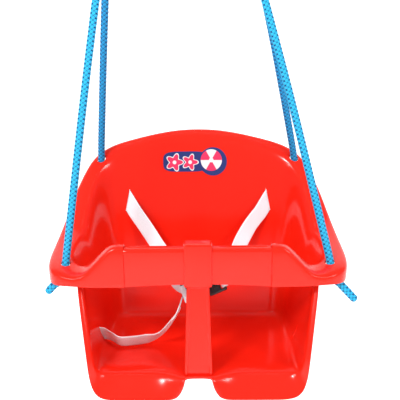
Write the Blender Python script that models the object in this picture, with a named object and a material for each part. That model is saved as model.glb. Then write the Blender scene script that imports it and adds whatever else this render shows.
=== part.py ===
"""Toddler bucket swing: a moulded bucket seat with a front bar and a crotch post, hung on four rope
legs from two steel rings, with a webbing harness that closes in a side-release buckle.

Metres, +Z up, the seat opening towards -Y, +X to the right for someone who looks at its front. The origin
is on the swing's axis, above the middle of the seat. The seat is drawn in its own frame, whose origin is at
the front of the shoulders (y) and the top of the pan (z), under an empty.
"""

import math

import bmesh
import bpy
from mathutils import Matrix, Vector
from mathutils.bvhtree import BVHTree

GAP = 0.0003

# Where the swing's axis lies in the seat's own frame.
AXIS_BACK = 0.1095
AXIS_UP = 0.576

# Moulded plastic.
WALL = 0.003
EDGE = 0.005
PAN_REAR = 0.156
LIP_DROP = 0.029
LIP_FRONT = -0.0215
NOTCH_HALF = 0.018
SEAM_X = 0.092
SHOULDER_TOP = 0.168
BAR_TOP = 0.1645
BAR_BOTTOM = 0.115
BAR_FRONT = 0.0015
BAR_BACK = 0.0195

# Crotch post.
HEAD_HALF = 0.0177
HEAD_TOP = 0.1705
POST_TOP_HALF = 0.0142
POST_FOOT_HALF = 0.0178
POST_DEPTH = 0.014

# Rope, rings and holes.
ROPE = 0.010
ROPE_HOLE = 0.012
RING_X = {"left": -0.1165, "right": 0.0745}
RING_RADIUS = 0.022
RING_WIRE = 0.006
LOOP_RADIUS = 0.0085
LOOP_FOOT = -0.050
LEG_SPREAD = 0.0075
LEG_TWIST = 0.0024
FRONT_HOLE = Vector((0.1700, 0.0310, 0.1325))
REAR_HOLE = Vector((0.1430, 0.2025, 0.2420))
KNOT_RADIUS = 0.0095

# Webbing and buckle.
WEBBING = 0.023
WEBBING_THICK = 0.0014
BUCKLE_CENTRE = Vector((0.007, 0.045, 0.0990))
BUCKLE_TILT = math.radians(24)
BUCKLE_HALF = 0.028
BUCKLE_WIDTH = 0.032
BUCKLE_THICK = 0.010
WEB_SLOT_HALF = 0.0122
SPLIT_U = 0.003

# Slots for the webbing.
SHOULDER_SLOT = Vector((0.1042, 0.1995, 0.1755))
STRAP_RUN = Vector((-0.52, -0.45, -0.725))
STRAP_LIE = Vector((-0.67, -0.33, 0.667))
LAP_SLOT = Vector((0.1335, 0.0760, 0.0190))
LAP_SLOT_LIE = Vector((0.20, -0.35, 0.91))

SIDES = {"left": -1, "right": 1}


def v(x, y, z):
    return Vector((x, y, z))


# ---------------------------------------------------------------- scene and mesh helpers


def clear_scene():
    for obj in list(bpy.data.objects):
        bpy.data.objects.remove(obj, do_unlink=True)


def make_empty(name, place, parent=None):
    empty = bpy.data.objects.new(name, None)
    empty.empty_display_size = 0.02
    empty.parent = parent
    empty.location = place
    bpy.context.scene.collection.objects.link(empty)
    return empty


def make_material(name, colour, roughness, metallic=0.0):
    mat = bpy.data.materials.new(name)
    mat.use_nodes = True
    shader = mat.node_tree.nodes["Principled BSDF"]
    shader.inputs["Base Color"].default_value = (*colour, 1.0)
    shader.inputs["Roughness"].default_value = roughness
    shader.inputs["Metallic"].default_value = metallic
    mat.diffuse_color = (*colour, 1.0)
    return mat


def make_object(name, bm, parent, mat):
    """A named object from a bmesh whose points are in the parent's frame."""
    mesh = bpy.data.meshes.new(name)
    bm.to_mesh(mesh)
    bm.free()
    mesh.shade_smooth()
    mesh.set_sharp_from_angle(angle=math.radians(40))
    if mat:
        mesh.materials.append(mat)
    obj = bpy.data.objects.new(name, mesh)
    obj.parent = parent
    bpy.context.scene.collection.objects.link(obj)
    return obj


def cut_or_join(target, tool, operation):
    modifier = target.modifiers.new(tool.name, "BOOLEAN")
    modifier.operation = operation
    modifier.object = tool
    tool.hide_render = True
    tool.display_type = "WIRE"


def make_tool(name, bm, parent):
    return make_object(name, bm, parent, None)


def box_bmesh(low, high, bevel=0.0, frame=None):
    """A box between two corners, in an optional frame, with bevelled edges."""
    low, high = Vector(low), Vector(high)
    bm = bmesh.new()
    bmesh.ops.create_cube(bm, size=1.0)
    size = high - low
    bmesh.ops.transform(
        bm,
        matrix=Matrix.Translation((low + high) / 2) @ Matrix.Diagonal((*size, 1.0)),
        verts=bm.verts,
    )
    if bevel:
        bmesh.ops.bevel(
            bm, geom=bm.edges, offset=bevel, segments=2, profile=0.5, affect="EDGES"
        )
    if frame:
        bmesh.ops.transform(bm, matrix=frame, verts=bm.verts)
    return bm


def rod_bmesh(start, end, radius, sides=20):
    axis = end - start
    turn = axis.to_track_quat("Z", "Y").to_matrix().to_4x4()
    bm = bmesh.new()
    bmesh.ops.create_cone(
        bm, cap_ends=True, segments=sides, radius1=radius, radius2=radius, depth=axis.length
    )
    place = Matrix.Translation((start + end) / 2) @ turn
    bmesh.ops.transform(bm, matrix=place, verts=bm.verts)
    return bm


def loft_bmesh(rings, closed=False):
    """A closed solid through rings of the same count of points, with flat ends unless it closes on itself."""
    bm = bmesh.new()
    rows = [[bm.verts.new(point) for point in ring] for ring in rings]
    count = len(rows[0])
    pairs = list(zip(rows, rows[1:]))
    if closed:
        pairs.append((rows[-1], rows[0]))
    for low, high in pairs:
        for i in range(count):
            j = (i + 1) % count
            bm.faces.new((low[i], low[j], high[j], high[i]))
    if not closed:
        bm.faces.new(rows[0][::-1])
        bm.faces.new(rows[-1])
    bmesh.ops.recalc_face_normals(bm, faces=bm.faces)
    return bm


def smooth_path(points, step):
    """Points along a Catmull-Rom curve through the given points, about one step apart."""
    points = [Vector(p) for p in points]
    ends = [2 * points[0] - points[1], *points, 2 * points[-1] - points[-2]]
    path = []
    for a, b, c, d in zip(ends, ends[1:], ends[2:], ends[3:]):
        count = max(1, round((c - b).length / step))
        for k in range(count):
            t = k / count
            path.append(
                0.5
                * (
                    2 * b
                    + (c - a) * t
                    + (2 * a - 5 * b + 4 * c - d) * t**2
                    + (3 * b - a - 3 * c + d) * t**3
                )
            )
    path.append(points[-1])
    return path


def tangents(path):
    ends = [path[0], *path, path[-1]]
    return [(after - before).normalized() for before, after in zip(ends, ends[2:])]


def tube_bmesh(path, radius, sides=8, closed=False):
    rings = []
    across = tangents(path)[0].orthogonal()
    for point, along in zip(path, tangents(path)):
        across = (across - along * across.dot(along)).normalized()
        other = along.cross(across)
        rings.append(
            [
                point + radius * (across * math.cos(a) + other * math.sin(a))
                for a in (2 * math.pi * k / sides for k in range(sides))
            ]
        )
    return loft_bmesh(rings, closed)


def ribbon_bmesh(path, widths, width, thickness):
    """A flat strap along a path. widths holds one direction across the strap for each point of the path."""
    rings = []
    for point, along, hint in zip(path, tangents(path), widths):
        across = (hint - along * hint.dot(along)).normalized() * width / 2
        up = along.cross(across).normalized() * thickness / 2
        rings.append([point - across - up, point + across - up, point + across + up, point - across + up])
    return loft_bmesh(rings)


def blend_hints(points, hints, path):
    """The direction across the strap at each point of a path, turned smoothly between the given points."""
    found = []
    for place in path:
        spans = [
            (a, b, ha, hb)
            for a, b, ha, hb in zip(points, points[1:], hints, hints[1:])
        ]
        nearest = min(spans, key=lambda span: distance_to_span(place, span[0], span[1]))
        a, b, ha, hb = nearest
        t = max(0.0, min(1.0, (place - a).dot(b - a) / (b - a).length_squared))
        found.append(ha.lerp(hb, t).normalized())
    return found


def distance_to_span(place, a, b):
    t = max(0.0, min(1.0, (place - a).dot(b - a) / (b - a).length_squared))
    return (place - a.lerp(b, t)).length


# ---------------------------------------------------------------- bucket seat


def rim_front():
    """The shoulder and front corner of the rim: outer and inner top edge of each column, x > 0."""
    return [
        (v(SEAM_X, 0.0, SHOULDER_TOP), v(SEAM_X, 0.020, SHOULDER_TOP)),
        (v(0.104, 0.0, SHOULDER_TOP), v(0.105, 0.020, SHOULDER_TOP)),
        (v(0.1125, 0.0, 0.1640), v(0.1135, 0.020, 0.1655)),
        (v(0.128, 0.0, 0.1490), v(0.128, 0.022, 0.1500)),
        (v(0.143, 0.0, 0.1340), v(0.141, 0.029, 0.1365)),
        (v(0.160, 0.001, 0.1275), v(0.151, 0.036, 0.1310)),
    ]


def rim_side():
    """The arm and wing of the rim, from the front corner to below the rear rope hole."""
    return [
        (v(0.188, 0.010, 0.1275), v(0.161, 0.042, 0.1330)),
        (v(0.197, 0.045, 0.1350), v(0.166, 0.060, 0.1390)),
        (v(0.1945, 0.095, 0.1490), v(0.1655, 0.085, 0.1460)),
        (v(0.1925, 0.144, 0.1625), v(0.1645, 0.113, 0.1530)),
        (v(0.1900, 0.154, 0.1725), v(0.1625, 0.123, 0.1610)),
        (v(0.1810, 0.175, 0.1995), v(0.1555, 0.155, 0.1930)),
        (v(0.1720, 0.190, 0.2190), v(0.1485, 0.181, 0.2200)),
    ]


def rim_corner():
    return (v(0.158, 0.207, 0.2440), v(0.135, 0.198, 0.2390))


def rim_back():
    """The arched top of the backrest, from beside the rear rope hole to the middle."""
    return [
        (v(0.134, 0.2180, 0.2595), v(0.115, 0.208, 0.2490)),
        (v(0.106, 0.2240, 0.2675), v(0.090, 0.214, 0.2555)),
        (v(0.070, 0.2305, 0.2755), v(0.060, 0.220, 0.2605)),
        (v(0.034, 0.2355, 0.2815), v(0.030, 0.223, 0.2640)),
        (v(0.000, 0.2365, 0.2830), v(0.000, 0.224, 0.2650)),
    ]


def wall_feet():
    """Where each column of the wall meets the fillet above the pan."""
    z = 0.026
    side = [
        v(0.1340, -0.007, z),
        v(0.1350, 0.022, z),
        v(0.1355, 0.056, z),
        v(0.1355, 0.088, z),
        v(0.1345, 0.114, z),
        v(0.1330, 0.137, z),
        v(0.1305, 0.157, z),
    ]
    corner = v(0.122, 0.172, z)
    back = [v(x, 0.1795, z) for x in (0.104, 0.076, 0.048, 0.020, 0.0)]
    return side, corner, back


def pan_lines():
    """Distances from the middle of the lengthwise lines of the pan, the second last on the notch's edge."""
    return (0.092, 0.070, 0.045, NOTCH_HALF, 0.0)


def skirt_drop(outer, inner, before, after, depth):
    """A move down from the rim's outer edge, square to the flange."""
    normal = (outer - inner).cross(after - before).normalized()
    return -normal * depth if normal.z > 0 else normal * depth


def rim_rows(columns, bottoms):
    """The rows across the rim for each column: skirt, outer round, flange, inner round."""
    rows = []
    for (outer, inner), drop in zip(columns, bottoms):
        inward = (inner - outer).normalized()
        rows.append(
            [outer + drop, outer + drop.normalized() * EDGE, outer + inward * EDGE, inner - inward * 0.004]
        )
    return rows


def wall_rows(inner, foot, flare):
    """The rows down the wall, from just below the rim to the edge of the pan."""
    fall = foot - inner
    top = inner + fall.normalized() * EDGE + v(-flare * 0.1, 0, 0)
    shoulder = inner + fall * 0.18 + v(-flare, 0, 0)
    inset = v(-foot.x, 0.075 - foot.y, 0)
    inset = v(inset.x, inset.y, 0).normalized()
    bend = foot + inset * 0.004 + v(0, 0, -0.021)
    edge = foot + inset * 0.019 + v(0, 0, -foot.z)
    return [top, shoulder, (shoulder + foot) / 2, foot, bend, edge]


def seat_patches():
    """Grids of control points for the half with x > 0, each a list of columns."""
    front, side, back = rim_front(), rim_side(), rim_back()
    columns = [*front, *side, rim_corner(), *back]
    drops = [v(0, 0, BAR_BOTTOM - outer.z) for outer, _ in front]
    depths = [0.022, 0.023, 0.021, 0.019, 0.016, 0.013, 0.012, 0.012, 0.012, 0.012, 0.012, 0.012, 0.012]
    for k, depth in enumerate(depths, len(front)):
        after = columns[k + 1][0] if k + 1 < len(columns) else mirrored(columns[k - 1][0], -1)
        drops.append(skirt_drop(*columns[k], columns[k - 1][0], after, depth))
    drops[len(front)] = v(-0.001, 0.001, -0.0195)
    rim = rim_rows(columns, drops)

    side_feet, corner_foot, back_feet = wall_feet()
    feet = [*side_feet, corner_foot, *back_feet]
    flares = [0.0065] * 5 + [0.005, 0.004, 0.002] + [0.0] * 5
    walls = [
        wall_rows(columns[len(front) + k][1], foot, flare)
        for k, (foot, flare) in enumerate(zip(feet, flares))
    ]
    apron = [
        [inner + v(0, 0, -EDGE), v(inner.x, inner.y, BAR_BOTTOM + 0.003)] for _, inner in front
    ]
    upper = [row + wall for row, wall in zip(rim, apron + [wall[:2] for wall in walls])]
    lower = [wall[1:] for wall in walls]

    side_edges = [wall[-1] for wall in walls[: len(side_feet)]]
    back_edges = [wall[-1] for wall in walls[len(side_feet) :]]
    pan = [[edge, *(v(x, edge.y, 0) for x in pan_lines())] for edge in side_edges]
    pan.append(back_edges)

    for point in pan[0][-2:]:
        point.y = -0.014
    start = lower[0] + pan[0][1:-1]
    forward = [v(0.0015, -0.005, 0)] * 3 + [v(0.001, -0.007, -0.002)]
    forward += [v(0, -0.0075, -0.003)] * (len(start) - 4)
    turned = [v(0.007, -0.007, -0.001)] * 2 + [v(0.0070, -0.008, -0.003), v(0.0065, -0.010, -0.014)]
    first = [point + move for point, move in zip(start, forward)]
    last = [point + move for point, move in zip(start, turned)]
    spread = [0.004, 0.0, 0.0, 0.003, 0.006]
    last += [v(point.x + move, LIP_FRONT, -LIP_DROP) for point, move in zip(start[4:], spread)]
    lip = [last, first, start]
    return [upper, lower, pan, lip]


def seat_surface():
    """The visible surface of the moulding as one open mesh of quads, both halves joined in the middle."""
    bm = bmesh.new()
    for sign in (1, -1):
        for patch in seat_patches():
            grid = [[bm.verts.new((sign * p.x, p.y, p.z)) for p in column] for column in patch]
            for one, other in zip(grid, grid[1:]):
                for a, b, c, d in zip(one, one[1:], other[1:], other):
                    bm.faces.new((a, b, c, d))
    bmesh.ops.remove_doubles(bm, verts=bm.verts, dist=1e-5)
    bmesh.ops.recalc_face_normals(bm, faces=bm.faces)
    flat = [face for face in bm.faces if all(abs(vert.co.z) < 1e-6 for vert in face.verts)]
    if flat[0].normal.z < 0:
        bmesh.ops.reverse_faces(bm, faces=bm.faces)
    return bm


def rope_aim(side, hole):
    """The direction in which a rope leg leaves its hole, towards the ring."""
    return (v(RING_X[side], AXIS_BACK, AXIS_UP) - hole).normalized()


def hole_places():
    """Name, centre and rope direction of the four rope holes."""
    places = []
    for side, sign in SIDES.items():
        for end, hole in (("front", FRONT_HOLE), ("rear", REAR_HOLE)):
            centre = v(sign * hole.x, hole.y, hole.z)
            places.append((f"{end}_{side}", side, centre, rope_aim(side, centre)))
    return places


def mirrored(vector, sign):
    return v(sign * vector.x, vector.y, vector.z)


def shoulder_slot_frame(sign):
    """Along the strap that passes through: x along its run, z along its width."""
    run, lie = mirrored(STRAP_RUN, sign).normalized(), mirrored(STRAP_LIE, sign)
    lie = (lie - run * lie.dot(run)).normalized()
    turn = Matrix((run, lie.cross(run), lie)).transposed().to_4x4()
    return Matrix.Translation(mirrored(SHOULDER_SLOT, sign)) @ turn


def lap_slot_frame(sign):
    """Square to the side wall, with z along the slot, which leans forward as it rises."""
    lie = mirrored(LAP_SLOT_LIE, sign).normalized()
    through = (v(1, 0, 0) - lie * lie.x).normalized()
    turn = Matrix((through, lie.cross(through), lie)).transposed().to_4x4()
    return Matrix.Translation(mirrored(LAP_SLOT, sign)) @ turn


def make_seat_shell(frame, mat):
    shell = make_object("seat_shell", seat_surface(), frame, mat)
    rounding = shell.modifiers.new("rounding", "SUBSURF")
    rounding.levels = 1
    rounding.render_levels = 1
    thickness = shell.modifiers.new("thickness", "SOLIDIFY")
    thickness.thickness = WALL
    thickness.offset = -1.0
    for name, _, centre, aim in hole_places():
        drill = rod_bmesh(centre - aim * 0.012, centre + aim * 0.012, ROPE_HOLE / 2)
        cut_or_join(shell, make_tool(f"drill_{name}", drill, frame), "DIFFERENCE")
    for side, sign in SIDES.items():
        slot = box_bmesh((-0.032, -0.0016, -0.0124), (0.032, 0.0016, 0.0124), 0.0, shoulder_slot_frame(sign))
        cut_or_join(shell, make_tool(f"shoulder_slot_{side}", slot, frame), "DIFFERENCE")
        slot = box_bmesh((-0.016, -0.0018, -0.0128), (0.016, 0.0018, 0.0128), 0.0, lap_slot_frame(sign))
        cut_or_join(shell, make_tool(f"lap_slot_{side}", slot, frame), "DIFFERENCE")
    return shell


# ---------------------------------------------------------------- front bar and crotch post


def channel_section(front, back, top, bottom, wall, x):
    """An inverted U with rounded top corners, in the plane x."""
    r = 0.005
    outer = [v(x, front, bottom), v(x, front, top - r), v(x, front + 0.3 * r, top - 0.3 * r), v(x, front + r, top)]
    outer += [v(x, back - r, top), v(x, back - 0.3 * r, top - 0.3 * r), v(x, back, top - r), v(x, back, bottom)]
    inner = [v(x, back - wall, bottom), v(x, back - wall, top - r), v(x, back - r, top - wall)]
    inner += [v(x, front + r, top - wall), v(x, front + wall, top - r), v(x, front + wall, bottom)]
    return outer + inner


def make_front_bar(frame, mat):
    """The rail between the two shoulders, with a smaller spigot at each end inside the shoulder."""
    end = SEAM_X - 2 * GAP
    spigot = SEAM_X + 0.012
    inset = WALL + 0.0008
    stations = []
    for x in (-end, -0.045, 0.0, 0.045, end):
        stations.append(channel_section(BAR_FRONT, BAR_BACK, BAR_TOP, BAR_BOTTOM, 0.0025, x))
    bar = make_object("front_bar", loft_bmesh(stations), frame, mat)
    for side, sign in SIDES.items():
        low = v(min(sign * (end - 0.006), sign * spigot), inset + 0.0012, 0.1225)
        high = v(max(sign * (end - 0.006), sign * spigot), BAR_BACK - inset - 0.0004, SHOULDER_TOP - 0.0095)
        cut_or_join(bar, make_tool(f"spigot_{side}", box_bmesh(low, high, 0.0012), frame), "UNION")
        low = v(min(sign * (end - 0.005), sign * (end - 0.001)), BAR_FRONT + 0.001, 0.1185)
        high = v(max(sign * (end - 0.005), sign * (end - 0.001)), BAR_BACK - 0.001, BAR_TOP - 0.0015)
        cut_or_join(bar, make_tool(f"end_web_{side}", box_bmesh(low, high), frame), "UNION")
    return bar


def post_section(z, half, front):
    """A channel open to the back, with raised beads along both edges of its face."""
    back = front + POST_DEPTH
    right = [
        v(0.0, front + 0.0012, z),
        v(half - 0.0050, front + 0.0012, z),
        v(half - 0.0035, front, z),
        v(half - 0.0012, front, z),
        v(half, front + 0.0015, z),
        v(half, back, z),
        v(half - 0.0030, back, z),
        v(half - 0.0040, front + 0.0042, z),
        v(0.0, front + 0.0042, z),
    ]
    left = [v(-p.x, p.y, p.z) for p in right[1:-1]]
    return [right[0], *right[1:], *left[::-1]]


def make_crotch_post(frame, mat):
    """The post, with a head that wraps the bar and a foot that stands on the pan."""
    heights = [(GAP, 1.0), (0.010, 0.98), (0.050, 0.60), (0.090, 0.25), (BAR_BOTTOM - 0.001, 0.0)]
    sections = []
    for z, share in heights:
        half = POST_TOP_HALF + (POST_FOOT_HALF - POST_TOP_HALF) * share
        front = 0.0010 - 0.0125 * (1 - z / BAR_BOTTOM)
        sections.append(post_section(z, half, front))
    post = make_object("crotch_post", loft_bmesh(sections), frame, mat)
    low, high = v(-HEAD_HALF, -0.0015, BAR_BOTTOM - 0.0045), v(HEAD_HALF, 0.0230, HEAD_TOP)
    head = box_bmesh(low, high, 0.003)
    cut_or_join(post, make_tool("post_head", head, frame), "UNION")
    low = v(-0.05, BAR_FRONT - GAP, BAR_BOTTOM - GAP)
    high = v(0.05, BAR_BACK + GAP, BAR_TOP + GAP)
    cut_or_join(post, make_tool("bar_way", box_bmesh(low, high), frame), "DIFFERENCE")
    return post


# ---------------------------------------------------------------- ropes


def make_hanging_ring(side, mat):
    centre = v(RING_X[side], 0, RING_RADIUS)
    steps = 28
    path = [
        centre + RING_RADIUS * v(math.sin(a), 0, -math.cos(a))
        for a in (2 * math.pi * k / steps for k in range(steps))
    ]
    rings = []
    for point in path:
        out = (point - centre).normalized()
        rings.append(
            [
                point + RING_WIRE / 2 * (out * math.cos(a) + v(0, 1, 0) * math.sin(a))
                for a in (2 * math.pi * k / 8 for k in range(8))
            ]
        )
    return make_object(f"hanging_ring_{side}", loft_bmesh(rings, True), None, mat)


def loop_path(side):
    """Up the front, over the ring's wire and down the back, in the plane of the two legs."""
    x = RING_X[side]
    turn = [
        v(x, -LOOP_RADIUS * math.cos(a), LOOP_RADIUS * math.sin(a))
        for a in (math.pi * k / 8 for k in range(9))
    ]
    ends = [
        v(x - LEG_TWIST, -LEG_SPREAD, LOOP_FOOT),
        v(x - LEG_TWIST, -LEG_SPREAD, LOOP_FOOT + 0.005),
        v(x - LEG_TWIST / 2, -0.0060, LOOP_FOOT + 0.018),
        v(x, -0.0075, LOOP_FOOT + 0.032),
    ]
    mirrored = [v(2 * x - p.x, -p.y, p.z) for p in ends]
    return [*ends, *turn, *mirrored[::-1]]


def make_top_knot(side, pivot, mat):
    """The bight over the ring and the knot that closes it, as one solid."""
    knot = bmesh.new()
    bmesh.ops.create_uvsphere(knot, u_segments=12, v_segments=8, radius=1.0)
    place = Matrix.Translation((RING_X[side], 0, LOOP_FOOT + 0.018)) @ Matrix.Diagonal((0.011, 0.014, 0.0125, 1))
    bmesh.ops.transform(knot, matrix=place, verts=knot.verts)
    obj = make_object(f"top_knot_{side}", knot, pivot, mat)
    bight = make_tool(f"bight_{side}", tube_bmesh(loop_path(side), ROPE / 2), pivot)
    cut_or_join(obj, bight, "UNION")
    return obj


def leg_points(name, side, hole, aim):
    """From below the rim, through the hole and straight up to the foot of the top knot."""
    way = -1 if name.startswith("front") else 1
    top = v(RING_X[side] + way * LEG_TWIST, AXIS_BACK + way * LEG_SPREAD, AXIS_UP + LOOP_FOOT - GAP)
    rise = hole + aim * 0.030
    return [hole - aim * 0.006, hole, rise, rise.lerp(top, 0.5), top - v(0, 0, 0.012), top]


def make_rope_leg(name, side, hole, aim, frame, mat):
    curve = bpy.data.curves.new(f"rope_{name}", "CURVE")
    curve.dimensions = "3D"
    curve.bevel_depth = ROPE / 2
    curve.bevel_resolution = 2
    curve.use_fill_caps = True
    path = smooth_path(leg_points(name, side, hole, aim), 0.028)
    spline = curve.splines.new("POLY")
    spline.points.add(len(path) - 1)
    for point, place in zip(spline.points, path):
        point.co = (*place, 1.0)
    curve.materials.append(mat)
    obj = bpy.data.objects.new(f"rope_{name}", curve)
    obj.parent = frame
    bpy.context.scene.collection.objects.link(obj)
    return obj


def tail_points(name, knot):
    """The free end of the rope beyond each stopper knot."""
    sign = SIDES[name.split("_")[1]]
    if name == "front_left":
        return [knot, knot + v(-0.008, -0.004, -0.0145), v(-0.1890, 0.0200, 0.0965)]
    if name == "front_right":
        return [knot, knot + v(0.010, -0.005, -0.0145), v(0.1930, 0.0215, 0.0965), v(0.2020, 0.0180, 0.0885)]
    return [knot, knot + v(sign * 0.003, 0.006, -0.014), knot + v(sign * 0.006, 0.010, -0.030)]


def make_stopper_knot(name, hole, aim, frame, mat):
    centre = hole - v(0.3 * aim.x, aim.y, aim.z) * (0.0065 + KNOT_RADIUS)
    ball = bmesh.new()
    bmesh.ops.create_uvsphere(ball, u_segments=12, v_segments=8, radius=KNOT_RADIUS)
    turn = aim.to_track_quat("Z", "Y").to_matrix().to_4x4()
    bmesh.ops.transform(ball, matrix=Matrix.Translation(centre) @ turn, verts=ball.verts)
    obj = make_object(f"stopper_knot_{name}", ball, frame, mat)
    path = smooth_path(tail_points(name, centre), 0.010)
    tail = make_tool(f"tail_{name}", tube_bmesh(path, ROPE / 2), frame)
    cut_or_join(obj, tail, "UNION")
    return obj


# ---------------------------------------------------------------- harness


strap_ends = {}


def strap_object(name, points, hints, frame, mat):
    points = [Vector(p) for p in points]
    hints = [Vector(h) for h in hints]
    strap_ends[name] = (points[0], (points[1], hints[0]))
    path = smooth_path(points, 0.012)
    widths = blend_hints(points, hints, path)
    bm = ribbon_bmesh(path, widths, WEBBING, WEBBING_THICK)
    return make_object(name, bm, frame, mat)


def buckle_frame():
    """The buckle's own frame: u along it to the right and up, v across it, n out of its face."""
    u = v(math.cos(BUCKLE_TILT), 0, math.sin(BUCKLE_TILT))
    n = v(0, -0.92, 0.39)
    n = (n - u * n.dot(u)).normalized()
    w = n.cross(u)
    turn = Matrix((u, w, n)).transposed().to_4x4()
    return Matrix.Translation(BUCKLE_CENTRE) @ turn


def in_buckle(u, w, n):
    return buckle_frame() @ v(u, w, n)


def make_buckle_socket(frame, mat):
    half, thick = BUCKLE_WIDTH / 2, BUCKLE_THICK / 2
    place = buckle_frame()
    body = box_bmesh((-BUCKLE_HALF, -half, -thick), (SPLIT_U, half, thick), 0.002, place)
    socket = make_object("buckle_socket", body, frame, mat)
    cavity = box_bmesh((-0.0180, -0.0140, -0.0033), (SPLIT_U + 0.01, 0.0140, 0.0033), 0.0, place)
    cut_or_join(socket, make_tool("socket_cavity", cavity, frame), "DIFFERENCE")
    windows = box_bmesh((-0.0125, -0.02, -0.0024), (-0.0015, 0.02, 0.0024), 0.0, place)
    cut_or_join(socket, make_tool("socket_windows", windows, frame), "DIFFERENCE")
    slot = box_bmesh((-0.0250, -WEB_SLOT_HALF, -0.02), (-0.0210, WEB_SLOT_HALF, 0.02), 0.0, place)
    cut_or_join(socket, make_tool("socket_web_slot", slot, frame), "DIFFERENCE")
    return socket


def make_buckle_tongue(pivot, frame, mat):
    half, thick = BUCKLE_WIDTH / 2, BUCKLE_THICK / 2
    place = pivot_frame(pivot)
    start = SPLIT_U + GAP
    body = box_bmesh((start, -half, -thick), (BUCKLE_HALF, half, thick), 0.002, place)
    tongue = make_object("buckle_tongue", body, pivot, mat)
    guide = box_bmesh((-0.0150, -0.0028, -0.0022), (start + 0.004, 0.0028, 0.0022), 0.0, place)
    cut_or_join(tongue, make_tool("tongue_guide", guide, pivot), "UNION")
    slot = box_bmesh((0.0205, -WEB_SLOT_HALF, -0.02), (0.0248, WEB_SLOT_HALF, 0.02), 0.0, place)
    cut_or_join(tongue, make_tool("tongue_web_slot", slot, pivot), "DIFFERENCE")
    for name, sign in (("upper", 1), ("lower", -1)):
        pocket = [(-0.01, sign * 0.0060, -0.0026), (start + 0.005, sign * 0.0142, 0.0026)]
        low = Vector(map(min, *pocket))
        high = Vector(map(max, *pocket))
        tool = make_tool(f"arm_pocket_{name}", box_bmesh(low, high, 0.0, place), pivot)
        cut_or_join(tongue, tool, "DIFFERENCE")
    return tongue


def pivot_frame(pivot):
    """The buckle's frame as seen from an empty placed in the seat's frame."""
    return Matrix.Translation(-pivot.location) @ buckle_frame()


def make_latch_arm(name, sign, pivot, mat):
    """A springy arm of the tongue: thin from its root, with a finger pad at the tip."""
    outline = [
        (SPLIT_U + 0.0048, 0.0070),
        (SPLIT_U + 0.0048, 0.0112),
        (0.0000, 0.0114),
        (-0.0020, 0.0136),
        (-0.0120, 0.0136),
        (-0.0138, 0.0114),
        (-0.0138, 0.0092),
        (-0.0020, 0.0084),
    ]
    place = pivot_frame(pivot)
    rings = [[place @ v(u, sign * w, n) for u, w in outline] for n in (-0.0022, 0.0022)]
    return make_object(f"latch_arm_{name}", loft_bmesh(rings), pivot, mat)


def strap_start(sign):
    """From the free end behind the backrest, through the slot."""
    slot, run = mirrored(SHOULDER_SLOT, sign), mirrored(STRAP_RUN, sign)
    through = [slot + run * distance for distance in (-0.030, -0.020, -0.010, 0.0, 0.010, 0.020)]
    return [through[0] + v(0, 0.018, -0.006), *through]


def make_shoulder_straps(frame, mat):
    lie = mirrored(STRAP_LIE, -1)
    left = strap_object(
        "shoulder_strap_left",
        [
            *strap_start(-1),
            (-0.0775, 0.1800, 0.1400),
            (-0.0600, 0.1660, 0.1165),
            (-0.0420, 0.1350, 0.0985),
            (-0.0300, 0.0950, 0.0885),
            in_buckle(-BUCKLE_HALF - 0.0045, 0.003, 0.0030),
        ],
        [*[lie] * 8, v(0.72, -0.2, 0.66), v(0.75, 0.1, 0.65), v(0.45, 0.1, 0.85), v(-0.3, 0.0, 0.95)],
        frame,
        mat,
    )
    lie = mirrored(STRAP_LIE, 1)
    right = strap_object(
        "shoulder_strap_right",
        [
            *strap_start(1),
            (0.0790, 0.1800, 0.1410),
            (0.0615, 0.1630, 0.1165),
            (0.0500, 0.1250, 0.1030),
            (0.0430, 0.0850, 0.1050),
            in_buckle(BUCKLE_HALF + 0.0045, 0.0, 0.0),
        ],
        [*[lie] * 8, v(-0.6, 0.1, 0.7), v(-0.45, 0.3, 0.8), v(-0.4, 0.1, 0.9), v(-0.35, 0.0, 0.93)],
        frame,
        mat,
    )
    return left, right


def make_lap_strap(frame, mat):
    """From the slot in the left wall across the pan on its lower edge, then up to the buckle."""
    slot, lie = mirrored(LAP_SLOT, -1), mirrored(LAP_SLOT_LIE, -1)
    leaning = v(0, -0.55, 0.83)
    return strap_object(
        "lap_strap",
        [
            slot - v(0.0260, 0.0, 0.0),
            slot - v(0.0060, 0.0, 0.0),
            slot + v(0.0050, -0.0010, -0.0008),
            (-0.1190, 0.0700, 0.0160),
            (-0.1077, 0.0630, 0.0128),
            (-0.0927, 0.0645, 0.0122),
            (-0.0714, 0.0690, 0.0132),
            (-0.0560, 0.0690, 0.0190),
            (-0.0449, 0.0660, 0.0300),
            (-0.0325, 0.0550, 0.0520),
            (-0.0280, 0.0440, 0.0640),
            in_buckle(-BUCKLE_HALF - 0.0050, -0.0060, 0.0080),
        ],
        [
            lie,
            lie,
            lie,
            leaning,
            leaning,
            leaning,
            leaning,
            v(-0.15, -0.80, 0.55),
            v(-0.35, -0.92, 0.10),
            v(-0.30, -0.93, -0.20),
            v(0.10, -0.80, -0.50),
            v(0.30, -0.50, -0.80),
        ],
        frame,
        mat,
    )


def strap_end_frame(name, inset):
    """Where a stop sits on the outer end of a strap: x across the webbing's thickness, z across its width."""
    first, second = strap_ends[name]
    along = (first - second[0]).normalized()
    across = (second[1] - along * second[1].dot(along)).normalized()
    turn = Matrix((across.cross(along) * -1, along, across)).transposed().to_4x4()
    return Matrix.Translation(first - along * inset) @ turn


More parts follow.
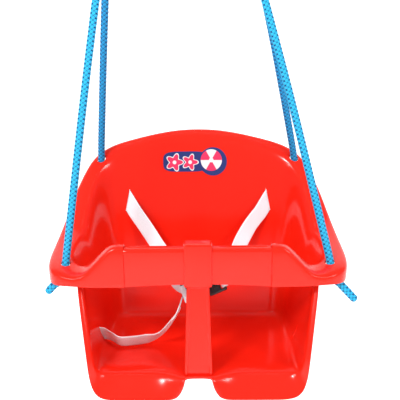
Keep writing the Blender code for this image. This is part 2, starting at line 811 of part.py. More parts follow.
def make_strap_stop(name, place, frame, mat):
    """A plate with one slot that keeps the end of a strap from pulling through the moulding."""
    plate = box_bmesh((-0.006, -0.0015, -0.017), (0.006, 0.0015, 0.017), 0.0012)
    bmesh.ops.transform(plate, matrix=place, verts=plate.verts)
    stop = make_object(name, plate, frame, mat)
    slot = box_bmesh((-0.0017, -0.01, -0.0123), (0.0017, 0.01, 0.0123))
    bmesh.ops.transform(slot, matrix=place, verts=slot.verts)
    cut_or_join(stop, make_tool(f"{name}_slot", slot, frame), "DIFFERENCE")
    return stop


# ---------------------------------------------------------------- sticker


def make_sticker(shell, frame, mat):
    """A thin rounded label that follows the face of the backrest."""
    graph = bpy.context.evaluated_depsgraph_get()
    tree = BVHTree.FromObject(shell, graph)
    columns, rows = 10, 4
    half_width, half_height, middle = 0.048, 0.022, v(-0.004, 0, 0.233)
    faces = []
    for lift in (0.0005, 0.0011):
        grid = []
        for i in range(columns + 1):
            s = 2 * i / columns - 1
            tall = half_height * (1 - 0.35 * abs(s) ** 4)
            column = []
            for k in range(rows + 1):
                start = middle + v(s * half_width, 0, (2 * k / rows - 1) * tall)
                hit, normal, _, _ = tree.ray_cast(start, v(0, 1, 0))
                column.append(hit - v(0, 1, 0) * lift)
            grid.append(column)
        faces.append(grid)
    bm = bmesh.new()
    made = [[[bm.verts.new(p) for p in column] for column in grid] for grid in faces]
    for grid in made:
        for one, other in zip(grid, grid[1:]):
            for a, b, c, d in zip(one, one[1:], other[1:], other):
                bm.faces.new((a, b, c, d))
    edges = [
        [grid[i][0] for i in range(columns)]
        + [grid[columns][k] for k in range(rows)]
        + [grid[i][rows] for i in range(columns, 0, -1)]
        + [grid[0][k] for k in range(rows, 0, -1)]
        for grid in made
    ]
    for k in range(len(edges[0])):
        n = (k + 1) % len(edges[0])
        bm.faces.new((edges[0][k], edges[0][n], edges[1][n], edges[1][k]))
    bmesh.ops.recalc_face_normals(bm, faces=bm.faces)
    return make_object("sticker", bm, frame, mat)


# ---------------------------------------------------------------- assembly


def main():
    clear_scene()
    red = make_material("red_plastic", (0.85, 0.03, 0.02), 0.25)
    black = make_material("black_plastic", (0.02, 0.02, 0.022), 0.4)
    blue = make_material("blue_rope", (0.05, 0.42, 0.78), 0.8)
    white = make_material("white_webbing", (0.9, 0.88, 0.88), 0.8)
    steel = make_material("zinc_steel", (0.72, 0.72, 0.70), 0.3, 1.0)
    print_blue = make_material("sticker_print", (0.05, 0.09, 0.32), 0.3)

    pivot = make_empty("swing_pivot", (0, 0, 0))
    frame = make_empty("seat_frame", (0, -AXIS_BACK, -AXIS_UP), pivot)
    shell = make_seat_shell(frame, red)
    make_front_bar(frame, red)
    make_crotch_post(frame, red)
    for side in SIDES:
        make_hanging_ring(side, steel)
        make_top_knot(side, pivot, blue)
    for name, side, hole, aim in hole_places():
        make_rope_leg(name, side, hole, aim, frame, blue)
        make_stopper_knot(name, hole, aim, frame, blue)

    make_shoulder_straps(frame, white)
    make_lap_strap(frame, white)
    for side, sign in SIDES.items():
        place = strap_end_frame(f"shoulder_strap_{side}", 0.010)
        make_strap_stop(f"strap_stop_{side}", place, frame, black)
    place = strap_end_frame("lap_strap", 0.008)
    make_strap_stop("strap_stop_lap", place, frame, black)

    make_buckle_socket(frame, black)
    tongue_pivot = make_empty("tongue_pivot", tuple(in_buckle(SPLIT_U, 0, 0)), frame)
    make_buckle_tongue(tongue_pivot, frame, black)
    for name, sign in (("upper", 1), ("lower", -1)):
        root = in_buckle(SPLIT_U + 0.0040, sign * 0.0091, 0)
        arm_pivot = make_empty(f"arm_pivot_{name}", tuple(root), frame)
        make_latch_arm(name, sign, arm_pivot, black)
    bpy.context.view_layer.update()
    make_sticker(shell, frame, print_blue)


main()
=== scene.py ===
"""Looks of the toddler bucket swing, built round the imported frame.

The seat, the rope legs and the harness are drawn in the seat's own frame, whose origin lies
under the swing's axis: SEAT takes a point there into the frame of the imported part. The rings
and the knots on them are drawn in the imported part's frame, whose origin is on that axis.
Lengths are in metres.
"""

import math

import bmesh
import bpy
from mathutils import Matrix, Vector
from mathutils.bvhtree import BVHTree


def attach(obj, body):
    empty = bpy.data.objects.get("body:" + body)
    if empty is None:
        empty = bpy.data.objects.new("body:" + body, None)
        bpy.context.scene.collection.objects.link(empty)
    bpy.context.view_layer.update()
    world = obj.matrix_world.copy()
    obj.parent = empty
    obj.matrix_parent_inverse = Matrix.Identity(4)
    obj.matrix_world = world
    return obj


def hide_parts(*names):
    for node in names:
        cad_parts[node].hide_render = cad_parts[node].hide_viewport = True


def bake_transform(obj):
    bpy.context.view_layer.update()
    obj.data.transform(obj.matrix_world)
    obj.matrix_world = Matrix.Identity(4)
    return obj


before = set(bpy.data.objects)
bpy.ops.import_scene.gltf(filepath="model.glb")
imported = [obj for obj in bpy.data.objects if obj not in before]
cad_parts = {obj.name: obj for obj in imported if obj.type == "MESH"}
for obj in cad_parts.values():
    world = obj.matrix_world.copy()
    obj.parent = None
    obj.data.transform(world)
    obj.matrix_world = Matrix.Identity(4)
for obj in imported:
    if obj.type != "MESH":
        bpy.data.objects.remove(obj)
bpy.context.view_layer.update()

AXIS_BACK = 0.1095
AXIS_UP = 0.576
SEAT = Matrix.Translation((0, -AXIS_BACK, -AXIS_UP))
SIDES = {"left": -1, "right": 1}

# Moulded plastic. The three edges are how far the rim's rounding reaches, from its ends to its
# corner.
WALL = 0.003
EDGE = 0.005
MIDDLE_EDGE = 0.004
CRISP_EDGE = 0.003
SHELL_BEVEL = 0.0006
WALL_FOOT = 0.026
FILLET = 0.019
PAN_MIDDLE = 0.075
PAN_FRONT = -0.014
LIP_DROP = 0.029
LIP_FRONT = -0.0215
NOTCH_HALF = 0.018
APRON_HEM = 0.003
SEAM_X = 0.092
PAN_LINES = (SEAM_X, 0.070, 0.045, NOTCH_HALF, 0.0)
SEAM_GAP = 0.00006
SHOULDER_TOP = 0.168
BAR_TOP = 0.1645
BAR_BOTTOM = 0.115
BAR_ARCH = 0.003
BAR_FRONT = 0.0015
BAR_BACK = 0.0195
BAR_WALL = 0.0025
BAR_ROUND = 0.005
SPIGOT = 0.012
HEAD_HALF = 0.0177
HEAD_TOP = 0.1705
POST_TOP_HALF = 0.0142
POST_FOOT_HALF = 0.0178
POST_DEPTH = 0.014
POST_FACE = 0.0042
POST_BEAD = 0.0024
POST_LEAN = 0.0125

# Rope. A strand's height is 1 where it crosses over another, DIP beside that and 0 in a groove.
ROPE = 0.010
ROPE_HOLE = 0.0126
STRANDS = 8
LAY = 0.023
DIP = 0.45
GROOVE_REACH = 0.93
STRAND_RELIEF = 0.10
CURVE_STEP = 0.002
PATH_STEP = 0.001
RING_X = {"left": -0.1165, "right": 0.0745}
RING_RADIUS = 0.022
RING_WIRE = 0.006
LOOP_RADIUS = 0.0085
LOOP_FOOT = -0.050
LEG_SPREAD = 0.0075
LEG_TWIST = 0.0024
FRONT_HOLE = Vector((0.1700, 0.0310, 0.1325))
REAR_HOLE = Vector((0.1430, 0.2025, 0.2420))
HOLE_REACH = 0.012
KNOT_DROP = 0.016
KNOT_SIZE = 0.00185
KNOT_ROPE = 0.0040
FRONT_TAILS = {
    "front_left": [(-0.1835, 0.0220, 0.1110), (-0.1935, 0.0200, 0.1005)],
    "front_right": [(0.1815, 0.0215, 0.1100), (0.2020, 0.0180, 0.0885)],
}

# Webbing and buckle. A slot's half sizes are along the axes of its own frame.
WEBBING = 0.023
WEBBING_THICK = 0.0014
WARP_RIBS = 20
WEFT_PITCH = 0.0011
BUCKLE_CENTRE = Vector((0.007, 0.045, 0.0990))
BUCKLE_TILT = math.radians(24)
BUCKLE_HALF = 0.028
BUCKLE_HALF_WIDTH = 0.0160
BUCKLE_HALF_THICK = 0.0050
SPLIT_U = 0.003
SHOULDER_SLOT = Vector((0.1042, 0.1995, 0.1755))
SHOULDER_SLOT_HALF = Vector((0.032, 0.0016, 0.0124))
STRAP_RUN = Vector((-0.52, -0.45, -0.725))
STRAP_LIE = Vector((-0.747, -0.173, 0.643))
STOP_LIE = Vector((-0.67, -0.33, 0.667))
LAP_SLOT = Vector((0.1335, 0.0760, 0.0190))
LAP_SLOT_HALF = Vector((0.016, 0.0018, 0.0128))
LAP_SLOT_LIE = Vector((0.20, -0.35, 0.91))

# Sticker, measured from its middle
LABEL_MIDDLE = Vector((-0.004, 0, 0.233))
LABEL_HALF = 0.048
LABEL_BAR_X, LABEL_BAR_HALF, LABEL_BAR_HEIGHT = -0.014, 0.034, 0.0150
LABEL_DISC_X, LABEL_DISC_RADIUS = 0.027, 0.021
FLOWERS = ((-0.031, 0.0098), (-0.0075, 0.0088))
FLOWER_Z = -0.001
PETAL_WAVE = 0.0028
BALL_X, BALL_Z, BALL_RADIUS = 0.0245, 0.002, 0.0160

# Colours
RED, DEEP_RED = (0.88, 0.019, 0.0065), (0.80, 0.013, 0.0045)
BLACK, WORN_BLACK = (0.012, 0.012, 0.014), (0.03, 0.03, 0.033)
DULL_ZINC, BRIGHT_ZINC = (0.52, 0.53, 0.52), (0.74, 0.74, 0.72)
FRONT_BLUES = ((0.030, 0.50, 0.84), (0.018, 0.40, 0.72))
# The rear legs' blues are a darker copy of the front ones, as painted shade.
REAR_BLUES_PAINTED_SHADE = ((0.020, 0.33, 0.66), (0.012, 0.24, 0.54))
# Painted shade: a navy laid into the rope's grooves.
GROOVE_SHADE_NAVY = (0.006, 0.035, 0.16)
# YARN_SHADE is painted shade for the hollows of the webbing's weave.
YARN, PALE_YARN, YARN_SHADE = (0.80, 0.92, 0.97), (0.88, 0.97, 1.0), (0.60, 0.67, 0.72)
PRINT_WHITE, PRINT_PINK, PRINT_NAVY = (0.86, 0.84, 0.86), (0.83, 0.03, 0.12), (0.015, 0.03, 0.17)
STUDIO_WHITES = ((0.92, 0.92, 0.92), (0.94, 0.94, 0.94))

# Camera and studio. Each light has its place, its two sizes and its energy.
CAMERA_PLACE = (0.0031, -0.9075, -0.150)
CAMERA_PITCH = 76
CAMERA_ROLL = -0.35
CAMERA_LENS = 61.4
CAMERA_SENSOR = 36
FLOOR = -0.95
STAGE_HALF = 6.0
STAGE_BACK = 2.0
STAGE_SWEEP = 1.5
BACKDROP_GLOW = 0.6
WORLD_GLOW = 0.42
LIGHT_AIM = (0, 0, -0.4)
LIGHTS = {
    "key": ((-0.9, -1.4, 0.7), (0.32, 0.32), 19),
    "fill": ((1.2, -1.1, 0.5), (0.25, 0.6), 10),
    "glint": ((-1.2, -1.1, 0.5), (0.16, 0.4), 5),
    "top": ((0.0, -0.3, 1.5), (1.0, 0.6), 11),
}


def v(x, y, z):
    return Vector((x, y, z))


def mirrored(vector, sign):
    return v(sign * vector.x, vector.y, vector.z)


def axes_at(place, x, y, z):
    """A frame at a place, from its three directions."""
    return Matrix.Translation(place) @ Matrix((x, y, z)).transposed().to_4x4()


# -------- node helpers


class Nodes:
    """A material's node tree, with short calls that return an output socket."""

    def __init__(self, name):
        self.material = bpy.data.materials.new(name)
        self.material.use_nodes = True
        self.tree = self.material.node_tree
        self.shader = self.tree.nodes["Principled BSDF"]

    def put(self, kind, **inputs):
        node = self.tree.nodes.new(kind)
        for key, value in inputs.items():
            self.feed(node.inputs[key.replace("_", " ")], value)
        return node

    def feed(self, socket, value):
        if isinstance(value, bpy.types.NodeSocket):
            self.tree.links.new(value, socket)
        else:
            socket.default_value = value

    def math(self, operation, *values):
        node = self.tree.nodes.new("ShaderNodeMath")
        node.operation = operation
        for socket, value in zip(node.inputs, values):
            self.feed(socket, value)
        return node.outputs[0]

    def times(self, first, second):
        return self.math("MULTIPLY", first, second)

    def plus(self, first, second):
        return self.math("ADD", first, second)

    def minus(self, first, second):
        return self.math("SUBTRACT", first, second)

    def step(self, value, low, high):
        """0 below low, 1 above high and smooth between; low may be the larger one."""
        node = self.put("ShaderNodeMapRange", Value=value, From_Min=low, From_Max=high)
        node.interpolation_type = "SMOOTHSTEP"
        return node.outputs["Result"]

    def scale(self, value, low, high):
        """Spreads 0 to 1 over low to high."""
        node = self.put("ShaderNodeMapRange", Value=value, To_Min=low, To_Max=high)
        return node.outputs["Result"]

    def mix(self, share, first, second):
        node = self.tree.nodes.new("ShaderNodeMix")
        node.data_type = "RGBA"
        self.feed(node.inputs[0], share)
        for socket, value in ((node.inputs[6], first), (node.inputs[7], second)):
            self.feed(socket, value if isinstance(value, bpy.types.NodeSocket) else (*value, 1))
        return node.outputs[2]

    def uv(self):
        node = self.put("ShaderNodeUVMap")
        split = self.put("ShaderNodeSeparateXYZ", Vector=node.outputs[0])
        return split.outputs["X"], split.outputs["Y"]

    def noise(self, scale, detail):
        place = self.put("ShaderNodeTexCoord").outputs["Object"]
        node = self.put("ShaderNodeTexNoise", Vector=place, Scale=scale, Detail=detail)
        return node.outputs[0]

    def bump(self, height, distance, strength):
        node = self.put("ShaderNodeBump", Height=height, Distance=distance, Strength=strength)
        self.feed(self.shader.inputs["Normal"], node.outputs[0])

    def set(self, **inputs):
        for key, value in inputs.items():
            self.feed(self.shader.inputs[key.replace("_", " ")], value)


def red_plastic():
    """Glossy polyethylene: a faint mottle in its colour and small changes in its gloss."""
    n = Nodes("red_plastic")
    mottle = n.noise(9.0, 3.0)
    colour = n.mix(n.scale(mottle, 0.2, 0.8), RED, DEEP_RED)
    n.set(Base_Color=colour, Roughness=n.scale(n.noise(24.0, 3.0), 0.11, 0.22))
    n.set(Subsurface_Weight=0.08, Subsurface_Scale=0.003, Subsurface_Radius=(1.0, 0.1, 0.05))
    n.set(Specular_IOR_Level=0.32)
    n.bump(n.noise(45.0, 2.0), 0.0006, 0.10)
    return n.material


def black_plastic():
    n = Nodes("black_plastic")
    grain = n.noise(900.0, 2.0)
    n.set(Base_Color=n.mix(grain, BLACK, WORN_BLACK), Roughness=n.scale(grain, 0.32, 0.5))
    n.bump(grain, 0.00008, 0.5)
    return n.material


def zinc_steel():
    n = Nodes("zinc_steel")
    spangle = n.noise(260.0, 3.0)
    n.set(Base_Color=n.mix(spangle, DULL_ZINC, BRIGHT_ZINC), Metallic=1.0)
    n.set(Roughness=n.scale(spangle, 0.22, 0.4))
    n.bump(spangle, 0.0001, 0.4)
    return n.material


def blue_rope(name, pale, deep):
    """The colour follows the braid: u runs once round the rope, v counts diameters along it."""
    n = Nodes(name)
    u, length = n.uv()
    turns = n.times(length, ROPE / LAY)
    ways = [n.times(n.math(sign, u, turns), STRANDS / 2) for sign in ("ADD", "SUBTRACT")]
    whole = [n.math("ROUND", way) for way in ways]
    crown = [
        n.math("COSINE", n.times(n.minus(way, near), math.pi))
        for way, near in zip(ways, whole)
    ]
    over = n.math("PINGPONG", n.plus(*whole), 1.0)
    first = n.times(crown[0], n.scale(crown[1], DIP, 1.0))
    second = n.times(crown[1], n.scale(crown[0], DIP, 1.0))
    under = n.minus(1.0, over)
    height = n.plus(n.times(over, first), n.times(under, second))
    fibre = n.noise(1500.0, 2.0)
    yarn = n.mix(fibre, deep, pale)
    # Painted shade: the yarn darkens to 0.45 of the deep blue where the braid's surface is low, in
    # its grooves.
    shaded = n.mix(n.step(height, 0.55, 0.10), yarn, [0.45 * c for c in deep])
    # Painted shade: navy in the grooves between strands, in four bands round the rope, which
    # darkens its edges.
    column = n.step(n.math("COSINE", n.times(u, math.pi * STRANDS)), 0.2, -0.3)
    groove_shade_mask = n.times(n.step(n.plus(*crown), 1.15, 0.85), column)
    n.set(Base_Color=n.mix(groove_shade_mask, shaded, GROOVE_SHADE_NAVY), Roughness=0.6)
    n.set(Sheen_Weight=0.05, Sheen_Roughness=0.4, Specular_IOR_Level=0.25)
    n.bump(n.plus(height, n.times(fibre, 0.25)), 0.0006, 0.6)
    return n.material


def white_webbing():
    """Flat weave: u runs across the strap, v along it in metres."""
    n = Nodes("white_webbing")
    u, along = n.uv()
    warp = n.math("ABSOLUTE", n.math("SINE", n.times(u, math.pi * WARP_RIBS)))
    shift = n.times(n.math("FLOOR", n.times(u, WARP_RIBS)), math.pi / 2)
    pick = n.plus(n.times(along, math.pi / WEFT_PITCH), shift)
    weft = n.math("ABSOLUTE", n.math("SINE", pick))
    height = n.times(n.math("POWER", warp, 0.5), n.scale(weft, 0.55, 1.0))
    fibre = n.noise(1800.0, 2.0)
    yarn = n.mix(fibre, YARN, PALE_YARN)
    # Painted shade: the yarn darkens towards YARN_SHADE in the low parts of the weave.
    n.set(Base_Color=n.mix(n.step(height, 0.5, 0.1), yarn, YARN_SHADE), Roughness=0.7)
    n.set(Sheen_Weight=0.2, Sheen_Roughness=0.5)
    n.bump(n.plus(height, n.times(fibre, 0.2)), 0.0003, 0.7)
    return n.material


def sticker_print():
    """A label in metres from its middle: two flowers with pale rims and a beach ball on navy."""
    n = Nodes("sticker_print")
    x, z = n.uv()

    def shape(cx, cz, radius, wave=0.0):
        dx, dz = n.minus(x, cx), n.minus(z, cz)
        reach = n.math("SQRT", n.plus(n.times(dx, dx), n.times(dz, dz)))
        turn = n.math("ARCTAN2", dz, dx)
        petals = n.math("COSINE", n.times(turn, 5))
        edge = n.plus(radius, n.times(petals, wave))
        return n.step(n.minus(edge, reach), -0.00015, 0.00015), turn

    colour = PRINT_NAVY
    for cx, size in FLOWERS:
        rim, _ = shape(cx, FLOWER_Z, size + 0.0016, PETAL_WAVE)
        petal, _ = shape(cx, FLOWER_Z, size, PETAL_WAVE)
        heart, _ = shape(cx, FLOWER_Z, 0.0028)
        colour = n.mix(rim, colour, PRINT_WHITE)
        colour = n.mix(petal, colour, PRINT_PINK)
        colour = n.mix(heart, colour, PRINT_WHITE)
    disc, turn = shape(BALL_X, BALL_Z, BALL_RADIUS)
    stripe = n.step(n.math("SINE", n.times(turn, 3)), -0.08, 0.08)
    colour = n.mix(disc, colour, n.mix(stripe, PRINT_WHITE, PRINT_PINK))
    cap, _ = shape(BALL_X, BALL_Z, 0.0034)
    colour = n.mix(cap, colour, PRINT_WHITE)
    n.set(Base_Color=colour, Roughness=0.22, Coat_Weight=0.5, Coat_Roughness=0.08)
    n.bump(n.noise(120.0, 2.0), 0.0003, 0.1)
    return n.material


def backdrop_white():
    n = Nodes("backdrop_white")
    n.set(Base_Color=n.mix(n.noise(0.7, 2.0), *STUDIO_WHITES), Roughness=0.9)
    n.set(Emission_Color=(1, 1, 1, 1), Emission_Strength=BACKDROP_GLOW)
    return n.material


# -------- mesh helpers


def mesh_from(name, bm):
    """A mesh from a bmesh, which is freed."""
    mesh = bpy.data.meshes.new(name)
    bm.to_mesh(mesh)
    bm.free()
    return mesh


def link(name, data):
    """A new object in the scene."""
    obj = bpy.data.objects.new(name, data)
    bpy.context.scene.collection.objects.link(obj)
    return obj


def make_piece(node, ending, bm, material, body, place=SEAT):
    """A finished piece that stands for a CAD node, riding on a body when one is given."""
    bm.transform(place)
    name = f"{node}_{ending}"
    mesh = mesh_from(name, bm)
    mesh.shade_smooth()
    mesh.set_sharp_from_angle(angle=math.radians(40))
    mesh.materials.append(material)
    piece = link(name, mesh)
    if body:
        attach(piece, body)
    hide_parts(node)
    return piece


def box_bmesh(low, high, bevel=0.0, place=None, segments=3):
    low, high = Vector(low), Vector(high)
    bm = bmesh.new()
    bmesh.ops.create_cube(bm, size=1.0)
    size = Matrix.Diagonal((*(high - low), 1.0))
    bmesh.ops.transform(bm, matrix=Matrix.Translation((low + high) / 2) @ size, verts=bm.verts)
    if bevel:
        settings = {"offset": bevel, "segments": segments, "profile": 0.5, "affect": "EDGES"}
        bmesh.ops.bevel(bm, geom=bm.edges, **settings)
    if place:
        bmesh.ops.transform(bm, matrix=place, verts=bm.verts)
    return bm


def rod_bmesh(start, end, radius):
    axis = end - start
    turn = axis.to_track_quat("Z", "Y").to_matrix().to_4x4()
    bm = bmesh.new()
    sizes = {"radius1": radius, "radius2": radius, "depth": axis.length}
    bmesh.ops.create_cone(bm, cap_ends=True, segments=40, **sizes)
    bmesh.ops.transform(bm, matrix=Matrix.Translation((start + end) / 2) @ turn, verts=bm.verts)
    return bm


def loft_bmesh(rings, closed=False):
    """A solid through rings of points, capped at both ends or closed on itself."""
    bm = bmesh.new()
    rows = [[bm.verts.new(point) for point in ring] for ring in rings]
    pairs = list(zip(rows, rows[1:]))
    if closed:
        pairs.append((rows[-1], rows[0]))
    for low, high in pairs:
        for i in range(len(low)):
            j = (i + 1) % len(low)
            bm.faces.new((low[i], low[j], high[j], high[i]))
    if not closed:
        bm.faces.new(rows[0][::-1])
        bm.faces.new(rows[-1])
    bmesh.ops.recalc_face_normals(bm, faces=bm.faces)
    return bm


def joined(*parts):
    """One bmesh from several, each freed."""
    bm = bmesh.new()
    for part in parts:
        mesh = mesh_from("part", part)
        bm.from_mesh(mesh)
        bpy.data.meshes.remove(mesh)
    return bm


def solid_object(bm):
    """A helper object from a bmesh, which is freed."""
    return link("solid", mesh_from("solid", bm))


def modify(obj, kind, **settings):
    """A new modifier with these settings."""
    modifier = obj.modifiers.new(kind.lower(), kind)
    for key, value in settings.items():
        setattr(modifier, key, value)


def add_bevel(obj, width, angle):
    """Softens the edges where faces meet at more than an angle in degrees."""
    limit = math.radians(angle)
    modify(obj, "BEVEL", width=width, segments=2, limit_method="ANGLE", angle_limit=limit)


def evaluated_bmesh(obj):
    """The object's mesh with its modifiers applied. The object is removed."""
    graph = bpy.context.evaluated_depsgraph_get()
    bm = bmesh.new()
    bm.from_object(obj, graph)
    bpy.data.objects.remove(obj)
    return bm


def combined(base, tools, bevel=0.0, angle=40):
    """base cut by or joined with each (bmesh, operation) in turn, then softened along its edges."""
    target = solid_object(base)
    helpers = []
    for part, operation in tools:
        helpers.append(solid_object(part))
        modify(target, "BOOLEAN", operation=operation, object=helpers[-1])
    if bevel:
        add_bevel(target, bevel, angle)
    bm = evaluated_bmesh(target)
    for helper in helpers:
        bpy.data.objects.remove(helper)
    return bm


def smooth_path(points, step):
    """Points along a Catmull-Rom curve through the given points, about one step apart."""
    points = [Vector(p) for p in points]
    ends = [2 * points[0] - points[1], *points, 2 * points[-1] - points[-2]]
    path = []
    for a, b, c, d in zip(ends, ends[1:], ends[2:], ends[3:]):
        count = max(1, round((c - b).length / step))
        for k in range(count):
            t = k / count
            bend, twist = 2 * a - 5 * b + 4 * c - d, 3 * b - a - 3 * c + d
            path.append((2 * b + (c - a) * t + bend * t**2 + twist * t**3) / 2)
    path.append(points[-1])
    return path


def tangents(path):
    ends = [path[0], *path, path[-1]]
    return [(after - before).normalized() for before, after in zip(ends, ends[2:])]


def path_length(path):
    return sum((b - a).length for a, b in zip(path, path[1:]))


def even_path(path, step):
    """The same line with its points one even step apart."""
    count = max(2, round(path_length(path) / step))
    spacing = path_length(path) / count
    points, travelled, target = [path[0]], 0.0, spacing
    for a, b in zip(path, path[1:]):
        length = (b - a).length
        while length > 0 and travelled + length >= target and len(points) < count:
            points.append(a.lerp(b, (target - travelled) / length))
            target += spacing
        travelled += length
    points.append(path[-1])
    return points


def swept_bmesh(rings, us, vs):
    """A tube or strap through rings of points. Its UVs are us round each ring and vs along them."""
    bm = bmesh.new()
    layer = bm.loops.layers.uv.new("UVMap")
    rows = [[bm.verts.new(point) for point in ring] for ring in rings]
    for n, (low, high) in enumerate(zip(rows, rows[1:])):
        for i in range(len(low)):
            j = (i + 1) % len(low)
            face = bm.faces.new((low[i], low[j], high[j], high[i]))
            for loop, (k, m) in zip(face.loops, ((i, n), (i + 1, n), (i + 1, n + 1), (i, n + 1))):
                loop[layer].uv = (us[k], vs[m])
    bm.faces.new(rows[0][::-1])
    bm.faces.new(rows[-1])
    return bm


def braid_height(u, distance):
    """How high the braid's surface stands, from 0 in a groove to 1 on a strand's crown."""
    turns = distance / LAY
    ways = [(u + turns) * STRANDS / 2, (u - turns) * STRANDS / 2]
    crown = [math.cos(math.pi * (way - round(way))) for way in ways]
    if (round(ways[0]) + round(ways[1])) % 2:
        return crown[0] * (DIP + (1 - DIP) * crown[1])
    return crown[1] * (DIP + (1 - DIP) * crown[0])


def rope_bmesh(path, radius=ROPE / 2, sides=32, end_round=False):
    """A braided rope along a path of even steps, cut square or with its far end melted round."""
    rings, distances, travelled = [], [], 0.0
    total = path_length(path)
    across = v(0.05, -1, 0.05)
    for k, (point, along) in enumerate(zip(path, tangents(path))):
        if k:
            travelled += (point - path[k - 1]).length
        across = (across - along * across.dot(along)).normalized()
        other = along.cross(across)
        left = total - travelled
        share = 1.0
        if end_round and left < radius:
            share = math.sqrt(max(0.02, 1 - (1 - left / radius) ** 2))
        ring = []
        for i in range(sides):
            turn = 2 * math.pi * i / sides
            relief = STRAND_RELIEF * braid_height(i / sides, travelled)
            reach = radius * share * (GROOVE_REACH + relief)
            ring.append(point + reach * (across * math.cos(turn) + other * math.sin(turn)))
        rings.append(ring)
        distances.append(travelled / ROPE)
    return swept_bmesh(rings, [i / sides for i in range(sides + 1)], distances)


def rope_path(points):
    """The even path of a knotted rope's short stretch through the given points."""
    return even_path(smooth_path(points, CURVE_STEP), PATH_STEP)


# -------- seat shell


def rim_front():
    """The shoulder and front corner of the rim: outer and inner top edge of each column, x > 0."""
    return [
        (v(SEAM_X, 0.0, SHOULDER_TOP), v(SEAM_X, 0.020, SHOULDER_TOP)),
        (v(0.104, 0.0, SHOULDER_TOP), v(0.105, 0.020, SHOULDER_TOP)),
        (v(0.1125, 0.0, 0.1620), v(0.1135, 0.020, 0.1660)),
        (v(0.128, 0.0, 0.1450), v(0.128, 0.022, 0.1505)),
        (v(0.143, 0.0, 0.1300), v(0.141, 0.029, 0.1370)),
        (v(0.160, 0.001, 0.1265), v(0.151, 0.036, 0.1345)),
    ]


def rim_side():
    """The arm and wing of the rim, from the front corner to the corner above the rear rope hole."""
    return [
        (v(0.188, 0.010, 0.1345), v(0.161, 0.042, 0.1390)),
        (v(0.197, 0.045, 0.1390), v(0.166, 0.060, 0.1430)),
        (v(0.1945, 0.095, 0.1490), v(0.1655, 0.085, 0.1460)),
        (v(0.1925, 0.144, 0.1625), v(0.1645, 0.113, 0.1530)),
        (v(0.1900, 0.154, 0.1725), v(0.1625, 0.123, 0.1610)),
        (v(0.1810, 0.175, 0.1995), v(0.1555, 0.155, 0.1930)),
        (v(0.1720, 0.190, 0.2190), v(0.1485, 0.181, 0.2200)),
        (v(0.158, 0.207, 0.2440), v(0.135, 0.198, 0.2390)),
    ]


def rim_back():
    """The arched top of the backrest, from beside the rear rope hole to the middle."""
    return [
        (v(0.134, 0.2180, 0.2595), v(0.115, 0.208, 0.2490)),
        (v(0.106, 0.2240, 0.2675), v(0.090, 0.214, 0.2555)),
        (v(0.070, 0.2305, 0.2755), v(0.060, 0.220, 0.2605)),
        (v(0.034, 0.2355, 0.2815), v(0.030, 0.223, 0.2640)),
        (v(0, 0.2365, 0.2830), v(0, 0.224, 0.2650)),
    ]


def wall_feet():
    """Where each column of the wall meets the fillet above the pan: side, corner and back."""
    side_places = [(0.1340, -0.007), (0.1350, 0.022), (0.1355, 0.056), (0.1355, 0.088)]
    side_places += [(0.1345, 0.114), (0.1330, 0.137), (0.1305, 0.157)]
    side = [v(x, y, WALL_FOOT) for x, y in side_places]
    back = [v(x, 0.1795, WALL_FOOT) for x in (0.104, 0.076, 0.048, 0.020, 0.0)]
    return side, v(0.122, 0.172, WALL_FOOT), back


def skirt_drop(outer, inner, before, after, depth):
    """A move down from the rim's outer edge, square to the flange."""
    normal = (outer - inner).cross(after - before).normalized()
    return -normal * depth if normal.z > 0 else normal * depth


def skirt_drops(columns, front):
    """The skirt at each column of the rim: nearly level below in front, narrower to the back."""
    lifts = [0, 0, 0, 0, 0.0005, 0.0018]
    drops = [v(0, 0, BAR_BOTTOM + lift - outer.z) for (outer, _), lift in zip(front, lifts)]
    drops.append(v(-0.001, 0.001, -0.0203))
    depths = [0.0245, 0.020, 0.019, 0.016, 0.013] + [0.012] * 7
    for k, depth in enumerate(depths, len(drops)):
        after = columns[k + 1][0] if k + 1 < len(columns) else mirrored(columns[k - 1][0], -1)
        drops.append(skirt_drop(*columns[k], columns[k - 1][0], after, depth))
    return drops


def rim_rows(columns, drops):
    """The rows across the rim for each column: skirt, outer round, flange, inner round."""
    edges = [EDGE, MIDDLE_EDGE] + [CRISP_EDGE] * 4 + [MIDDLE_EDGE] + [EDGE] * (len(columns) - 7)
    rows = []
    for (outer, inner), drop, edge in zip(columns, drops, edges):
        inward = (inner - outer).normalized()
        flange = [outer + inward * edge, inner - inward * 0.8 * edge]
        rows.append([outer + drop, outer + drop.normalized() * edge, *flange])
    return rows


def wall_rows(inner, foot, flare):
    """The rows down the wall, from just below the rim to the edge of the pan."""
    fall = foot - inner
    top = inner + fall.normalized() * EDGE + v(-flare * 0.1, 0, 0)
    shoulder = inner + fall * 0.18 + v(-flare, 0, 0)
    inset = v(-foot.x, PAN_MIDDLE - foot.y, 0).normalized()
    bend = foot + inset * 0.004 + v(0, 0, -0.021)
    edge = foot + inset * FILLET + v(0, 0, -foot.z)
    return [top, shoulder, (shoulder + foot) / 2, foot, bend, edge]


def lip_columns(start):
    """The lip over the pan's front edge and down a lobe, from its lowest column to the start."""
    forward = [v(0.0015, -0.005, 0)] * 3 + [v(0.001, -0.007, -0.002)]
    forward += [v(0, -0.0075, -0.003)] * (len(start) - 4)
    turned = [v(0.007, -0.007, -0.001)] * 2 + [v(0.0070, -0.008, -0.003), v(0.0070, -0.010, -0.019)]
    spread = [0.0085, 0.0, 0.0, 0.003, 0.006]
    first = [point + move for point, move in zip(start, forward)]
    last = [point + move for point, move in zip(start, turned)]
    last += [v(point.x + move, LIP_FRONT, -LIP_DROP) for point, move in zip(start[4:], spread)]
    return [last, first, start]


